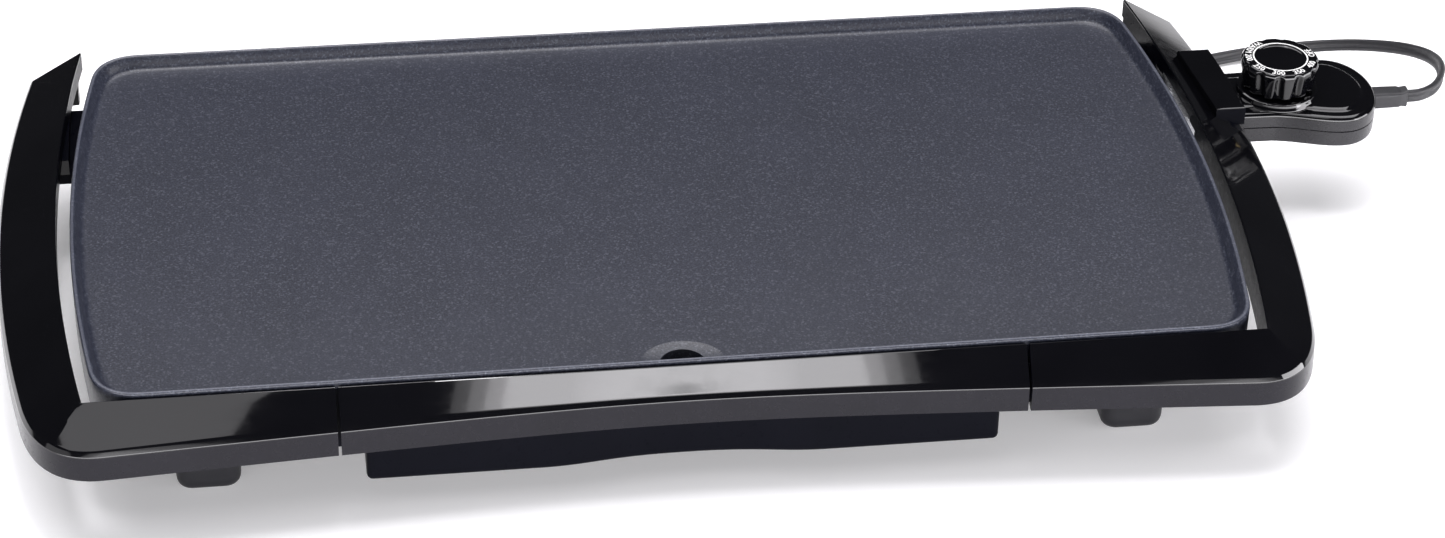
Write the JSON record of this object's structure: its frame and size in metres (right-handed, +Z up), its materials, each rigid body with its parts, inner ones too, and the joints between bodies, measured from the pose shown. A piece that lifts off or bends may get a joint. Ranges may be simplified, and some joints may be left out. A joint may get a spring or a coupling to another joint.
{
  "type": "electric griddle",
  "caption": "Low rectangular electric griddle: coated plate on a cool-touch frame, slide-out drip tray, and a plug-in heat control with a dial and a mains lead.",
  "frame": {"origin": "on the surface that the griddle stands on, under the middle of the box around it without its lead", "axes": "+X towards the end with the heat control, +Y away from the drip tray's front, +Z up"},
  "size_m": [0.7081, 0.3835, 0.075],
  "materials": {
    "coated_aluminium": "dark slate non-stick coating with a fine sparkle",
    "gloss_black": "glossy",
    "satin_black": "satin",
    "rubber_black": "matt flexible PVC",
    "steel": "plated",
    "brass": "bare",
    "phenolic": "moulded phenolic",
    "ceramic": "unglazed steatite"
  },
  "bodies": {
    "griddle": {"griddle_plate": "coated_aluminium", "heating_element": "steel", "terminal_pin_front": "steel", "terminal_pin_rear": "steel", "probe_guard": "steel", "guard_screw_1": "steel", "guard_screw_2": "steel", "left_end_frame": "gloss_black", "right_end_frame": "gloss_black", "front_cross_rail": "satin_black", "rear_cross_rail": "satin_black", "tray_guide_left": "satin_black", "tray_guide_right": "satin_black", "foot_front_left": "satin_black", "foot_rear_left": "satin_black", "plate_screw_left_1": "steel", "plate_screw_left_2": "steel", "rail_screw_left_1": "steel", "rail_screw_left_2": "steel", "guide_screw_left_1": "steel", "guide_screw_left_2": "steel", "foot_front_right": "satin_black", "foot_rear_right": "satin_black", "plate_screw_right_1": "steel", "plate_screw_right_2": "steel", "rail_screw_right_1": "steel", "rail_screw_right_2": "steel", "guide_screw_right_1": "steel", "guide_screw_right_2": "steel"},
    "drip_tray": {"drip_tray_body": "satin_black", "drip_tray_panel": "gloss_black", "tray_screw_1": "steel", "tray_screw_2": "steel"},
    "heat_control": {"control_housing_top": "gloss_black", "control_housing_bottom": "gloss_black", "housing_screw_1": "steel", "housing_screw_2": "steel", "control_insulator": "phenolic", "contact_socket_front": "brass", "contact_socket_rear": "brass", "probe_stem": "steel", "thermostat_frame": "steel", "blade_block": "ceramic", "fixed_contact_blade": "brass", "moving_contact_blade": "brass", "strain_relief": "rubber_black", "power_cord": "rubber_black", "cord_coil": "rubber_black", "cord_tail": "rubber_black", "power_plug": "rubber_black", "plug_blade_front": "brass", "plug_blade_rear": "brass"},
    "dial": {"control_knob": "gloss_black", "dial_shaft": "brass"},
    "adjuster": {"contact_adjuster": "ceramic"}
  },
  "joints": [
    {"name": "drip_tray_slide", "type": "slide", "parent": "griddle", "child": "drip_tray", "axis": [0, -1, 0], "range_m": [0, 0.085]},
    {"name": "heat_control_unplug", "type": "slide", "parent": "griddle", "child": "heat_control", "axis": [1, 0, 0], "range_m": [0, 0.09]},
    {"name": "dial_turn", "type": "hinge", "parent": "heat_control", "child": "dial", "pos_m": [0.27985, 0.07375, 0.06], "axis": [0, 0, 1], "range_deg": [-300, 0]},
    {"name": "adjuster_lift", "type": "slide", "parent": "heat_control", "child": "adjuster", "axis": [0, 0, 1], "range_m": [0, 0.0011]}
  ],
  "couplings": [
    {"joint": "adjuster_lift", "follows": "dial_turn", "m_per_rad": -0.0002}
  ]
}
